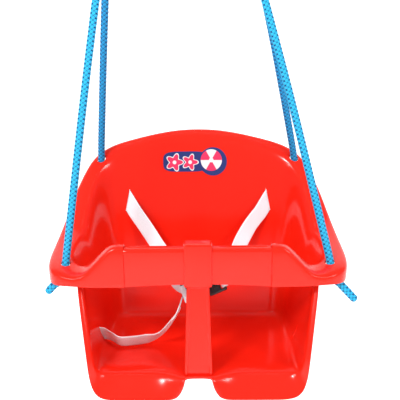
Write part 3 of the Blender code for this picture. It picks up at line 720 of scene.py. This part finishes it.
def seat_patches():
    """Grids of control points for the half with x > 0, each a list of columns."""
    front = rim_front()
    columns = [*front, *rim_side(), *rim_back()]
    rim = rim_rows(columns, skirt_drops(columns, front))

    side_feet, corner_foot, back_feet = wall_feet()
    feet = [*side_feet, corner_foot, *back_feet]
    flares = [0.0065] * 5 + [0.005, 0.004, 0.002] + [0.0] * 5
    tops = [inner for _, inner in columns[len(front) :]]
    walls = [wall_rows(*column) for column in zip(tops, feet, flares)]
    hem = BAR_BOTTOM + APRON_HEM
    apron = [[inner + v(0, 0, -EDGE), v(inner.x, inner.y, hem)] for _, inner in front]
    upper = [row + wall for row, wall in zip(rim, apron + [wall[:2] for wall in walls])]
    lower = [wall[1:] for wall in walls]

    side_edges = [wall[-1] for wall in walls[: len(side_feet)]]
    back_edges = [wall[-1] for wall in walls[len(side_feet) :]]
    pan = [[edge, *(v(x, edge.y, 0) for x in PAN_LINES)] for edge in side_edges]
    pan.append(back_edges)
    for point in pan[0][-2:]:
        point.y = PAN_FRONT
    return [upper, lower, pan, lip_columns(lower[0] + pan[0][1:-1])]


def seat_surface():
    """The visible surface of the moulding: an open mesh of quads, joined in the middle."""
    bm = bmesh.new()
    for sign in (1, -1):
        for patch in seat_patches():
            grid = [[bm.verts.new((sign * p.x, p.y, p.z)) for p in column] for column in patch]
            for one, other in zip(grid, grid[1:]):
                for a, b, c, d in zip(one, one[1:], other[1:], other):
                    bm.faces.new((a, b, c, d))
    bmesh.ops.remove_doubles(bm, verts=bm.verts, dist=1e-5)
    bmesh.ops.recalc_face_normals(bm, faces=bm.faces)
    flat = [face for face in bm.faces if all(abs(vert.co.z) < 1e-6 for vert in face.verts)]
    if flat[0].normal.z < 0:
        bmesh.ops.reverse_faces(bm, faces=bm.faces)
    crease = bm.verts.layers.float.new("crease_vert")
    for vert in bm.verts:
        above = vert.co.z - BAR_BOTTOM
        if abs(abs(vert.co.x) - SEAM_X) < 1e-6 and -0.001 < above < APRON_HEM + 0.001:
            vert[crease] = 1.0
    return bm


def hole_places():
    """Name, side and centre of the four rope holes, and each rope's direction towards its ring."""
    places = []
    for side, sign in SIDES.items():
        for end, hole in (("front", FRONT_HOLE), ("rear", REAR_HOLE)):
            centre = mirrored(hole, sign)
            aim = (v(RING_X[side], AXIS_BACK, AXIS_UP) - centre).normalized()
            places.append((f"{end}_{side}", side, centre, aim))
    return places


def shoulder_slot_frame(sign):
    """Along the strap that passes through: x along its run, z along its width."""
    run, lie = mirrored(STRAP_RUN, sign).normalized(), mirrored(STRAP_LIE, sign)
    lie = (lie - run * lie.dot(run)).normalized()
    return axes_at(mirrored(SHOULDER_SLOT, sign), run, lie.cross(run), lie)


def lap_slot_frame(sign):
    """Square to the side wall, with z along the slot, which leans forward as it rises."""
    lie = mirrored(LAP_SLOT_LIE, sign).normalized()
    through = (v(1, 0, 0) - lie * lie.x).normalized()
    return axes_at(mirrored(LAP_SLOT, sign), through, lie.cross(through), lie)


def shell_bmesh():
    """The moulded shell: a rounded cage with its thickness, soft edges, rope holes and slots."""
    shell = solid_object(seat_surface())
    modify(shell, "SUBSURF", levels=3)
    modify(shell, "SOLIDIFY", thickness=WALL, offset=-1.0)
    add_bevel(shell, SHELL_BEVEL, 60)
    cutters = []
    for _, _, centre, aim in hole_places():
        reach = aim * HOLE_REACH
        cutters.append(rod_bmesh(centre - reach, centre + reach, ROPE_HOLE / 2))
    for sign in SIDES.values():
        shoulder, lap = shoulder_slot_frame(sign), lap_slot_frame(sign)
        for half, place in ((SHOULDER_SLOT_HALF, shoulder), (LAP_SLOT_HALF, lap)):
            cutters.append(box_bmesh(-half, half, place=place))
    return combined(evaluated_bmesh(shell), [(cutter, "DIFFERENCE") for cutter in cutters])


# -------- front bar and crotch post


def corner(y, z, radius, start, end, steps=6):
    """Points in the y-z plane round a corner's centre, between two angles in degrees."""
    turns = (math.radians(start + (end - start) * k / steps) for k in range(steps + 1))
    return [(y + radius * math.cos(a), z + radius * math.sin(a)) for a in turns]


def bar_section(x):
    """An inverted U with rounded top corners. Its lower edge arches up towards the bar's middle."""
    wall, r = BAR_WALL, BAR_ROUND
    front, back, top = BAR_FRONT, BAR_BACK, BAR_TOP
    bottom = BAR_BOTTOM + BAR_ARCH * (1 - (x / SEAM_X) ** 2)
    outline = [(front, bottom)]
    outline += corner(front + r, top - r, r, 180, 90) + corner(back - r, top - r, r, 90, 0)
    outline += [(back, bottom), (back - wall, bottom)]
    outline += corner(back - r, top - r, r - wall, 0, 90)
    outline += corner(front + r, top - r, r - wall, 90, 180)
    outline.append((front + wall, bottom))
    return [v(x, y, z) for y, z in outline]


def bar_bmesh():
    """The bar, with a web inside each end and a spigot that reaches into the shoulder."""
    end = SEAM_X - SEAM_GAP
    tools = []
    for sign in SIDES.values():
        inner, outer = sorted((sign * (end - 0.006), sign * (SEAM_X + SPIGOT)))
        low = v(inner, WALL + 0.0020, 0.1225)
        high = v(outer, BAR_BACK - WALL - 0.0012, SHOULDER_TOP - 0.0095)
        tools.append((box_bmesh(low, high, 0.0012), "UNION"))
        inner, outer = sorted((sign * (end - 0.005), sign * (end - 0.001)))
        low = v(inner, BAR_FRONT + 0.001, 0.1185)
        high = v(outer, BAR_BACK - 0.001, BAR_TOP - 0.0015)
        tools.append((box_bmesh(low, high), "UNION"))
    return combined(loft_bmesh([bar_section(end * (k / 12 - 1)) for k in range(25)]), tools, 0.0003)


def post_section(z, half, front):
    """A channel open to the back, with a rounded bead along both edges of its face."""
    back, face, bead = front + POST_DEPTH, front + POST_FACE, POST_BEAD
    arc = corner(half - bead, front + bead, bead, 210, 360, 9)
    right = [(0.0, front + bead / 2), (half * 0.4, front + bead / 2), *arc]
    right += [(half, back), (half - 0.0030, back), (half - 0.0040, face), (0.0, face)]
    left = [(-x, y) for x, y in right[1:-1]]
    return [v(x, y, z) for x, y in [*right, *left[::-1]]]


def post_bmesh():
    """The post, with a head that wraps the bar and a foot that stands on the pan."""
    floor = BAR_BOTTOM + BAR_ARCH - 0.0004
    heights = [(0.0002, 1.0), (0.010, 0.98), (0.050, 0.60), (0.090, 0.25), (floor - 0.0006, 0.0)]
    sections = []
    for point in smooth_path([v(share, 0, z) for z, share in heights], 0.05):
        half = POST_TOP_HALF + (POST_FOOT_HALF - POST_TOP_HALF) * point.x
        front = 0.0010 - POST_LEAN * (1 - point.z / BAR_BOTTOM)
        sections.append(post_section(point.z, half, front))
    low, high = (-HEAD_HALF, -0.0015, floor - 0.0035), (HEAD_HALF, 0.0230, HEAD_TOP)
    head = box_bmesh(low, high, 0.003, segments=6)
    way = box_bmesh((-0.05, BAR_FRONT - 0.0002, floor), (0.05, BAR_BACK + 0.0002, BAR_TOP + 0.0002))
    return combined(loft_bmesh(sections), [(head, "UNION"), (way, "DIFFERENCE")], 0.0004)


# -------- rings, ropes and knots


def ring_bmesh(side):
    """A welded steel ring: a bead between two faint grooves marks the weld at its top."""
    centre = v(RING_X[side], 0, RING_RADIUS)
    rings = []
    for k in range(120):
        turn = 2 * math.pi * k / 120
        out = v(math.sin(turn), 0, -math.cos(turn))
        from_weld = abs(turn - math.pi) * RING_RADIUS
        bead = 0.13 * math.exp(-((from_weld / 0.0016) ** 2))
        groove = 0.05 * math.exp(-(((from_weld - 0.004) / 0.001) ** 2))
        wire = RING_WIRE / 2 * (1 + bead - groove)
        ring = []
        for i in range(24):
            a = 2 * math.pi * i / 24
            round_wire = out * math.cos(a) + v(0, 1, 0) * math.sin(a)
            ring.append(centre + out * RING_RADIUS + wire * round_wire)
        rings.append(ring)
    return loft_bmesh(rings, True)


def loop_path(side):
    """Up the front, over the ring's wire and down the back, in the plane of the two legs."""
    x = RING_X[side]
    turn = [
        v(x, -LOOP_RADIUS * math.cos(a), LOOP_RADIUS * math.sin(a))
        for a in (math.pi * k / 8 for k in range(9))
    ]
    ends = [
        v(x - LEG_TWIST, -LEG_SPREAD, LOOP_FOOT),
        v(x - LEG_TWIST, -LEG_SPREAD, LOOP_FOOT + 0.005),
        v(x - LEG_TWIST / 2, -0.0060, LOOP_FOOT + 0.018),
        v(x, -0.0075, LOOP_FOOT + 0.032),
    ]
    other = [v(2 * x - p.x, -p.y, p.z) for p in ends]
    return [*ends, *turn, *other[::-1]]


def top_knot_bmesh(side):
    """The rope's bight over the ring, and the turns that are wrapped round both of its legs."""
    x, start = RING_X[side], LOOP_FOOT + 0.0055
    turns, pitch = 2.6, 0.0098
    wrap = [v(x, 0.002, start - 0.001)]
    for k in range(round(turns * 12) + 1):
        a = 2 * math.pi * k / 12
        wrap.append(v(x + 0.0096 * math.cos(a), 0.0158 * math.sin(a), start + pitch * k / 12))
    wrap.append(v(x, -0.002, start + pitch * turns + 0.001))
    return joined(rope_bmesh(rope_path(loop_path(side))), rope_bmesh(rope_path(wrap)))


def leg_points(name, side, hole, aim):
    """From below the rim, through the hole and straight up to the foot of the top knot."""
    way = -1 if name.startswith("front") else 1
    top = v(RING_X[side] + way * LEG_TWIST, AXIS_BACK + way * LEG_SPREAD, AXIS_UP + LOOP_FOOT)
    rise = hole + aim * 0.030
    return [hole - aim * 0.006, hole, rise, rise.lerp(top, 0.5), top - v(0, 0, 0.012), top]


def tail_points(name, knot):
    """The free end of the rope beyond each stopper knot."""
    if name in FRONT_TAILS:
        return [knot, *FRONT_TAILS[name]]
    sign = SIDES[name.split("_")[1]]
    return [knot, knot + v(sign * 0.003, 0.006, -0.014), knot + v(sign * 0.006, 0.010, -0.030)]


def stopper_knot_bmesh(name, hole, aim):
    """A tight overhand knot under the rim, and the free end with its melted tip."""
    centre = hole - v(0.3 * aim.x, aim.y, aim.z) * KNOT_DROP
    turn = aim.to_track_quat("Z", "Y").to_matrix()
    knot = []
    for k in range(61):
        a = 2 * math.pi * k / 60
        x, y = math.sin(a) + 2 * math.sin(2 * a), math.cos(a) - 2 * math.cos(2 * a)
        knot.append(centre + turn @ (v(x, y, -1.9 * math.sin(3 * a)) * KNOT_SIZE))
    lump = rope_bmesh(even_path(knot, PATH_STEP), KNOT_ROPE, 20)
    return joined(lump, rope_bmesh(rope_path(tail_points(name, centre)), end_round=True))


# -------- harness


def strap_rings(path, hints):
    """Rings of a strap with rounded selvedges, and how far across it each ring point lies."""
    half, r = WEBBING / 2, WEBBING_THICK / 2
    face = [(-half + r + (WEBBING - WEBBING_THICK) * k / 8, -r) for k in range(9)]
    face += [(half - 0.3 * r, -0.6 * r), (half, 0.0), (half - 0.3 * r, 0.6 * r)]
    section = face + [(-a, -b) for a, b in face]
    rings = []
    for point, along, hint in zip(path, tangents(path), hints):
        across = (hint - along * hint.dot(along)).normalized()
        up = along.cross(across).normalized()
        rings.append([point + across * a + up * b for a, b in section])
    us = [(a + half) / WEBBING for a, _ in section]
    return rings, [*us, us[0]]


def distance_to_span(place, a, b):
    """How far a place is from the line from a to b, and the nearest point's share of the way."""
    t = max(0.0, min(1.0, (place - a).dot(b - a) / (b - a).length_squared))
    return (place - a.lerp(b, t)).length, t


def blend_hints(points, hints, path):
    """The direction across a strap along its path, turned evenly between the given points."""
    found, first = [], 0
    for place in path:
        spans = range(first, min(first + 3, len(points) - 1))
        measured = [(distance_to_span(place, points[k], points[k + 1]), k) for k in spans]
        (_, t), first = min(measured, key=lambda item: (item[0][0], item[1]))
        found.append(hints[first].lerp(hints[first + 1], t).normalized())
    return found


def buckle_frame():
    """The buckle's own frame: u along it to the right and up, w across it, n out of its face."""
    u = v(math.cos(BUCKLE_TILT), 0, math.sin(BUCKLE_TILT))
    n = v(0, -0.92, 0.39)
    n = (n - u * n.dot(u)).normalized()
    return axes_at(BUCKLE_CENTRE, u, n.cross(u), n)


def in_buckle(u, w, n):
    return buckle_frame() @ v(u, w, n)


def strap_start(sign):
    """From the free end behind the backrest, through the slot."""
    slot, run = mirrored(SHOULDER_SLOT, sign), mirrored(STRAP_RUN, sign)
    through = [slot + run * distance for distance in (-0.030, -0.020, -0.010, 0.0, 0.010, 0.020)]
    return [through[0] + v(0, 0.018, -0.006), *through]


def web_bar_loop(way):
    """Up through the slot at one end of the buckle, over its end bar and back behind it."""
    places = [(-0.0046, -0.0120), (-0.0051, -0.0060), (-0.0052, 0.0), (-0.0047, 0.0045)]
    places += [(-0.0015, 0.0064), (0.0013, 0.0040), (0.0016, -0.0020), (0.0010, -0.0080)]
    places += [(-0.0012, -0.0150), (-0.0028, -0.0230)]
    return [in_buckle(way * (BUCKLE_HALF + u), 0, n) for u, n in places]


def shoulder_strap(way):
    """Points and across directions of a shoulder strap, from behind the backrest to the buckle."""
    lie = mirrored(STRAP_LIE, way)
    if way < 0:
        bends = [(-0.0775, 0.1800, 0.1400), (-0.0600, 0.1660, 0.1165)]
        bends += [(-0.0420, 0.1350, 0.0985), (-0.0300, 0.0950, 0.0885)]
        turns = [v(0.72, -0.2, 0.66), v(0.75, 0.1, 0.65), v(0.45, 0.1, 0.85)]
    else:
        bends = [(0.0772, 0.1800, 0.1420), (0.0605, 0.1630, 0.1165)]
        bends += [(0.0500, 0.1250, 0.1030), (0.0430, 0.0850, 0.1050)]
        turns = [v(-0.6, 0.1, 0.7), v(-0.45, 0.3, 0.8), v(-0.4, 0.1, 0.9)]
    loop = web_bar_loop(way)
    approach = Vector(bends[-1]).lerp(loop[0], 0.6)
    across = in_buckle(0, 1, 0) - in_buckle(0, 0, 0)
    points = [*strap_start(way), *bends, approach, *loop]
    hints = [*[mirrored(STOP_LIE, way)] * 3, *[lie] * 5, *turns, *[across] * (1 + len(loop))]
    return [Vector(p) for p in points], [Vector(h) for h in hints]


def lap_strap():
    """Points and across directions from the left wall's slot over the pan and up to the buckle."""
    slot, lie = mirrored(LAP_SLOT, -1), mirrored(LAP_SLOT_LIE, -1)
    leaning = v(0, -0.55, 0.83)
    points = [
        slot - v(0.0260, 0, 0),
        slot - v(0.0060, 0, 0),
        slot + v(0.0050, -0.0010, -0.0008),
        (-0.1190, 0.0700, 0.0160),
        (-0.1077, 0.0630, 0.0128),
        (-0.0927, 0.0645, 0.0122),
        (-0.0714, 0.0690, 0.0132),
        (-0.0560, 0.0690, 0.0190),
        (-0.0449, 0.0660, 0.0300),
        (-0.0325, 0.0550, 0.0520),
        (-0.0280, 0.0440, 0.0640),
        in_buckle(-BUCKLE_HALF - 0.0050, -0.0060, 0.0080),
    ]
    hints = [*[lie] * 3, *[leaning] * 4, v(-0.15, -0.80, 0.55), v(-0.30, -0.92, 0.30)]
    hints += [v(-0.25, -0.95, 0.15), v(-0.10, -0.97, 0.15), v(0, -0.97, 0.20)]
    return [Vector(p) for p in points], [Vector(h) for h in hints]


def strap_bmesh(points, hints):
    """Webbing through the points, its width along the hints."""
    path = even_path(smooth_path(points, 0.003), 0.0015)
    rings, us = strap_rings(path, blend_hints(points, hints, path))
    step = path_length(path) / (len(path) - 1)
    return swept_bmesh(rings, us, [step * k for k in range(len(path))])


def buckle_half_bmesh(start, end, tools, ribs, first_rib):
    """Half of the buckle's body from start to end along it, with ribs across its face for grip."""
    half, thick = BUCKLE_HALF_WIDTH, BUCKLE_HALF_THICK
    body = box_bmesh((start, -half, -thick), (end, half, thick), 0.0028, segments=6)
    for k in range(ribs):
        u = first_rib + 0.0030 * k
        low, high = (u, -0.0085, thick - 0.001), (u + 0.0012, 0.0085, thick + 0.0005)
        tools.append((box_bmesh(low, high, 0.0004), "UNION"))
    bm = combined(body, tools, 0.0003)
    bm.transform(buckle_frame())
    return bm


def socket_bmesh():
    """The half that takes the tongue: a hollow, a window for each arm and a webbing slot."""
    tools = [
        (box_bmesh((-0.0180, -0.0140, -0.0033), (SPLIT_U + 0.01, 0.0140, 0.0033)), "DIFFERENCE"),
        (box_bmesh((-0.0125, -0.02, -0.0024), (-0.0015, 0.02, 0.0024)), "DIFFERENCE"),
        (box_bmesh((-0.0250, -0.0122, -0.02), (-0.0210, 0.0122, 0.02), 0.0008), "DIFFERENCE"),
    ]
    return buckle_half_bmesh(-BUCKLE_HALF, SPLIT_U, tools, 4, -0.0165)


def tongue_bmesh():
    """The other half: its middle prong, a slot for the webbing and a recess at each arm's root."""
    start = SPLIT_U + 0.0002
    tools = [
        (box_bmesh((-0.0150, -0.0028, -0.0022), (start + 0.004, 0.0028, 0.0022), 0.0006), "UNION"),
        (box_bmesh((0.0205, -0.0122, -0.02), (0.0248, 0.0122, 0.02), 0.0008), "DIFFERENCE"),
        (box_bmesh((-0.01, 0.0060, -0.0026), (start + 0.005, 0.0142, 0.0026)), "DIFFERENCE"),
        (box_bmesh((-0.01, -0.0142, -0.0026), (start + 0.005, -0.0060, 0.0026)), "DIFFERENCE"),
    ]
    return buckle_half_bmesh(start, BUCKLE_HALF, tools, 3, 0.0095)


def arm_bmesh(sign):
    """A springy arm of the tongue: thin from its root, with a ribbed finger pad at the tip."""
    outline = [
        (SPLIT_U + 0.0048, 0.0070),
        (SPLIT_U + 0.0048, 0.0112),
        (0.0, 0.0114),
        (-0.0020, 0.0136),
        *[(-0.0035 - 0.0008 * k, 0.0136 if k % 2 else 0.0131) for k in range(10)],
        (-0.0120, 0.0136),
        (-0.0138, 0.0114),
        (-0.0138, 0.0092),
        (-0.0020, 0.0084),
    ]
    rings = [[v(u, sign * w, n) for u, w in outline] for n in (-0.0022, 0.0022)]
    bm = combined(loft_bmesh(rings), [], 0.00025, 25)
    bm.transform(buckle_frame())
    return bm


# -------- sticker


def label_reach(x):
    """Half the label's height at x: a rounded bar that widens into a disc on the right."""
    bar, disc = 0.0, 0.0
    if abs(x - LABEL_BAR_X) < LABEL_BAR_HALF:
        bar = LABEL_BAR_HEIGHT * (1 - abs((x - LABEL_BAR_X) / LABEL_BAR_HALF) ** 4) ** 0.25
    if abs(x - LABEL_DISC_X) < LABEL_DISC_RADIUS:
        disc = math.sqrt(LABEL_DISC_RADIUS**2 - (x - LABEL_DISC_X) ** 2)
    return max(bar, disc, 0.0002)


def border(grid):
    """The vertices once round a grid of columns."""
    first, last = grid[0], grid[-1]
    low = [column[0] for column in grid[:-1]]
    high = [column[-1] for column in grid[:0:-1]]
    return [*low, *last[:-1], *high, *first[:0:-1]]


def sticker_bmesh(shell_tree):
    """A thin label that follows the backrest: two faces and the edge between them."""
    columns, rows = 96, 24
    bm = bmesh.new()
    layer = bm.loops.layers.uv.new("UVMap")
    flat, faces = {}, []
    for lift in (0.0001, 0.0006):
        grid = []
        for i in range(columns + 1):
            x = -LABEL_HALF * math.cos(math.pi * i / columns)
            column = []
            for k in range(rows + 1):
                z = (2 * k / rows - 1) * label_reach(x)
                hit, _, _, _ = shell_tree.ray_cast(LABEL_MIDDLE + v(x, 0, z), v(0, 1, 0))
                column.append(bm.verts.new(hit - v(0, lift, 0)))
                flat[column[-1]] = (x, z)
            grid.append(column)
        faces.append(grid)
    for grid in faces:
        for one, other in zip(grid, grid[1:]):
            for corners in zip(one, one[1:], other[1:], other):
                bm.faces.new(corners)
    back, front = (border(grid) for grid in faces)
    for k in range(len(back)):
        n = (k + 1) % len(back)
        bm.faces.new((back[k], back[n], front[n], front[k]))
    bmesh.ops.recalc_face_normals(bm, faces=bm.faces)
    for face in bm.faces:
        for loop in face.loops:
            loop[layer].uv = flat[loop.vert]
    return bm


# -------- camera, stage and lights


def add_camera():
    data = bpy.data.cameras.new("camera")
    data.lens = CAMERA_LENS
    data.sensor_width = CAMERA_SENSOR
    camera = link("camera", data)
    pitch = Matrix.Rotation(math.radians(CAMERA_PITCH), 4, "X")
    roll = Matrix.Rotation(math.radians(CAMERA_ROLL), 4, "Z")
    camera.matrix_world = Matrix.Translation(CAMERA_PLACE) @ pitch @ roll
    bpy.context.scene.camera = camera


def add_stage():
    """A white floor that curves up into a backdrop."""
    turns = (math.pi / 24 * k for k in range(1, 13))
    profile = [(-STAGE_HALF, FLOOR), (STAGE_BACK, FLOOR)]
    profile += [
        (STAGE_BACK + STAGE_SWEEP * math.sin(a), FLOOR + STAGE_SWEEP - STAGE_SWEEP * math.cos(a))
        for a in turns
    ]
    profile.append((STAGE_BACK + STAGE_SWEEP, STAGE_HALF))
    bm = bmesh.new()
    left, right = [[bm.verts.new((x, y, z)) for y, z in profile] for x in (-STAGE_HALF, STAGE_HALF)]
    for corners in zip(left, right, right[1:], left[1:]):
        bm.faces.new(corners)
    mesh = mesh_from("backdrop", bm)
    mesh.shade_smooth()
    mesh.materials.append(backdrop_white())
    backdrop = link("backdrop", mesh)


def add_lights():
    """A pale world and four soft lights. The top one makes no glare on the pan and the bar."""
    world = bpy.data.worlds.new("studio")
    world.use_nodes = True
    background = world.node_tree.nodes["Background"]
    background.inputs["Color"].default_value = (1, 1, 1, 1)
    background.inputs["Strength"].default_value = WORLD_GLOW
    bpy.context.scene.world = world
    for name, (place, size, energy) in LIGHTS.items():
        data = bpy.data.lights.new(name, "AREA")
        data.shape = "RECTANGLE"
        data.size, data.size_y = size
        data.energy = energy
        light = link(name, data)
        light.location = place
        aim = Vector(LIGHT_AIM) - Vector(place)
        light.rotation_euler = aim.to_track_quat("-Z", "Y").to_euler()
        light.visible_glossy = name != "top"
    bpy.context.scene.view_settings.view_transform = "Standard"


# -------- assembly


def add_ropes(front, rear):
    """Four free ropes that the rings hold taut. A ring's knot takes the front legs' material."""
    for side in SIDES:
        node, bight = f"top_knot_{side}", top_knot_bmesh(side)
        make_piece(node, "braid", bight, front, "seat", Matrix())
    for name, side, hole, aim in hole_places():
        # The rear legs and their knots take the darker copy of the rope's blue, which is painted
        # shade.
        blue = front if name.startswith("front") else rear
        knot = stopper_knot_bmesh(name, hole, aim)
        stopper = make_piece(f"stopper_knot_{name}", "braid", knot, blue, "seat")
        path = even_path(smooth_path(leg_points(name, side, hole, aim), 0.004), PATH_STEP)
        leg = make_piece(f"rope_{name}", "braid", rope_bmesh(path), blue, "seat")


def add_moulding(red, steel):
    """The red mouldings, the label on the backrest and the rings."""
    shell = shell_bmesh()
    label = sticker_bmesh(BVHTree.FromBMesh(shell))
    mouldings = {"seat_shell": shell, "front_bar": bar_bmesh(), "crotch_post": post_bmesh()}
    for node, solid in mouldings.items():
        make_piece(node, "moulded", solid, red, "seat")
    for side in SIDES:
        node, ring = f"hanging_ring_{side}", ring_bmesh(side)
        make_piece(node, "welded", ring, steel, "hanger", Matrix())
    make_piece("sticker", "label", label, sticker_print(), "seat")


def add_harness(white, black):
    """The straps and the buckle. The right shoulder strap rides on no body; its place is baked into
    its mesh.
    """
    left, right = strap_bmesh(*shoulder_strap(-1)), strap_bmesh(*shoulder_strap(1))
    make_piece("shoulder_strap_left", "web", left, white, "seat")
    right = make_piece("shoulder_strap_right", "web", right, white, None)
    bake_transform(right)
    make_piece("lap_strap", "web", strap_bmesh(*lap_strap()), white, "seat")
    make_piece("buckle_socket", "shell", socket_bmesh(), black, "seat")
    make_piece("buckle_tongue", "body", tongue_bmesh(), black, "tongue")
    for name, sign in (("upper", 1), ("lower", -1)):
        arm = arm_bmesh(sign)
        make_piece(f"latch_arm_{name}", "ribbed", arm, black, f"latch_{name}")
    for name in ("left", "right", "lap"):
        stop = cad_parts[f"strap_stop_{name}"]
        for place in stop.material_slots:
            place.material = black


def main():
    add_camera()
    front = blue_rope("blue_rope_front", *FRONT_BLUES)
    # The same rope again, darker for the rear legs: painted shade.
    rear = blue_rope("blue_rope_rear_painted_shade", *REAR_BLUES_PAINTED_SHADE)
    red, black = red_plastic(), black_plastic()
    add_ropes(front, rear)
    add_moulding(red, zinc_steel())
    add_harness(white_webbing(), black)
    add_stage()
    add_lights()


main()
